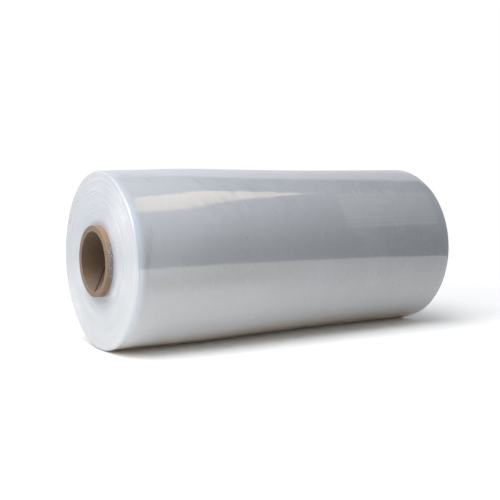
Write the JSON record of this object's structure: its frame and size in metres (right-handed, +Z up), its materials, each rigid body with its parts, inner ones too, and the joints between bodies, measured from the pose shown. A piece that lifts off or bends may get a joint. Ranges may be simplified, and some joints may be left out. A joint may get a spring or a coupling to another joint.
{
  "type": "stretch wrap roll",
  "caption": "Roll of clear stretch wrap film wound on a paperboard core tube that stands proud at both ends, lying on its side.",
  "frame": {"origin": "on the floor, under the middle of the roll", "axes": "+X along the roll's axis, away from the end with the film's starting edge on the core; +Z up"},
  "size_m": [0.515, 0.2326, 0.2301],
  "materials": {
    "paperboard": "matt grey-brown spiral-wound paperboard, its cut ends paler",
    "film": "clear polyethylene film in many turns, milky and glossy, with fine lines around the roll"
  },
  "bodies": {
    "root": {"core_tube": "paperboard", "wound_film": "film"}
  },
  "joints": []
}
